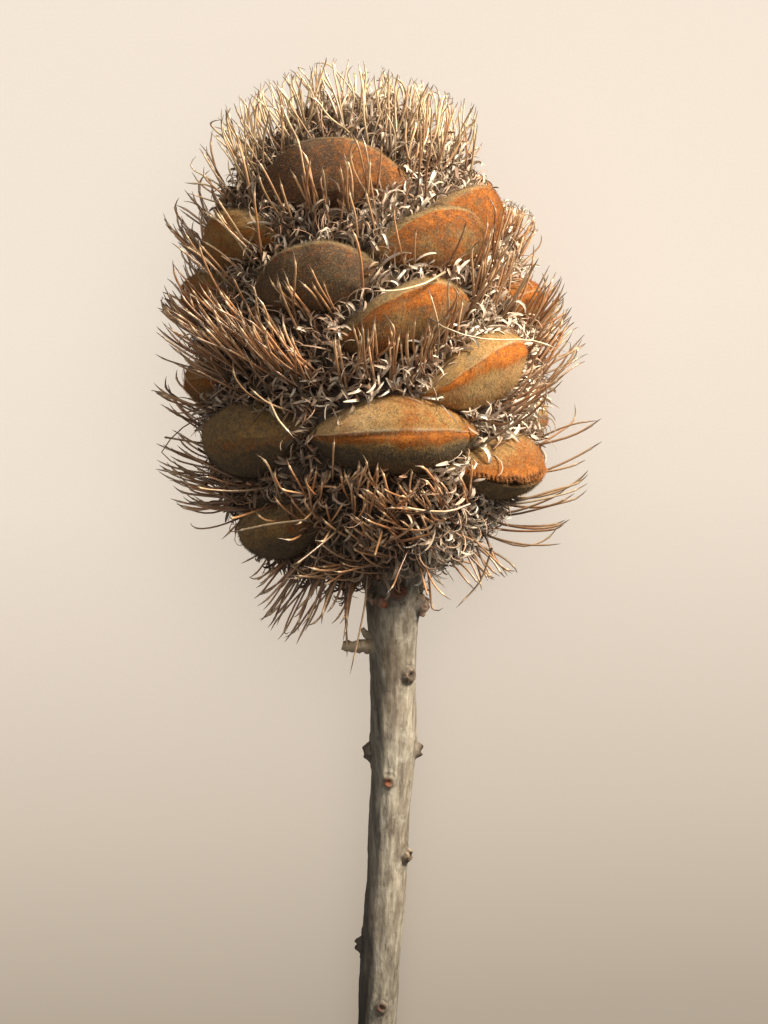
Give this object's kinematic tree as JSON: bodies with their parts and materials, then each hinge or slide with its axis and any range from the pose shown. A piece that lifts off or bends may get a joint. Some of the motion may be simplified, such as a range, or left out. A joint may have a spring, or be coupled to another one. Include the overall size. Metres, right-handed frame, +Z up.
{
  "type": "banksia cone",
  "caption": "dried woody seed cone on a cut branch stem, lying down: velvety boat-shaped seed follicles set in a mat of bracts and stiff, upswept dried styles",
  "frame": {"origin": "on the surface it lies on, under the middle of its bounding box", "axes": "+Y along the stem from its cut end to the cone's tip, +Z up from the surface, the pictured side up"},
  "size_m": [0.1226, 0.2674, 0.0963],
  "materials": {
    "bark": "matte",
    "bract_mat": "matte",
    "velvet": "matte",
    "style": "satin"
  },
  "bodies": {
    "root": {"cone_body": "bract_mat", "follicle_01": "velvet", "follicle_02": "velvet", "follicle_03": "velvet", "follicle_04": "velvet", "follicle_05": "velvet", "follicle_06": "velvet", "follicle_07": "velvet", "follicle_08": "velvet", "follicle_09": "velvet", "follicle_10": "velvet", "follicle_11": "velvet", "follicle_12": "velvet", "follicle_13": "velvet", "follicle_14": "velvet", "follicle_15": "velvet", "follicle_16": "velvet", "follicle_17": "velvet", "follicle_18": "velvet", "follicle_19": "velvet", "follicle_20": "velvet", "follicle_21": "velvet", "follicle_22": "velvet", "follicle_23": "velvet", "stem": "bark", "styles_base_1": "style", "styles_base_2": "style", "styles_base_3": "style", "styles_base_4": "style", "styles_base_5": "style", "styles_base_6": "style", "styles_crown_1": "style", "styles_crown_2": "style", "styles_crown_3": "style", "styles_lower_1": "style", "styles_lower_2": "style", "styles_lower_3": "style", "styles_lower_4": "style", "styles_lower_5": "style", "styles_lower_6": "style", "styles_middle_1": "style", "styles_middle_2": "style", "styles_middle_3": "style", "styles_middle_4": "style", "styles_middle_5": "style", "styles_middle_6": "style", "styles_neck_1": "style", "styles_neck_2": "style", "styles_neck_3": "style", "styles_neck_4": "style", "styles_upper_1": "style", "styles_upper_2": "style", "styles_upper_3": "style", "styles_upper_4": "style", "styles_upper_5": "style"}
  },
  "joints": []
}
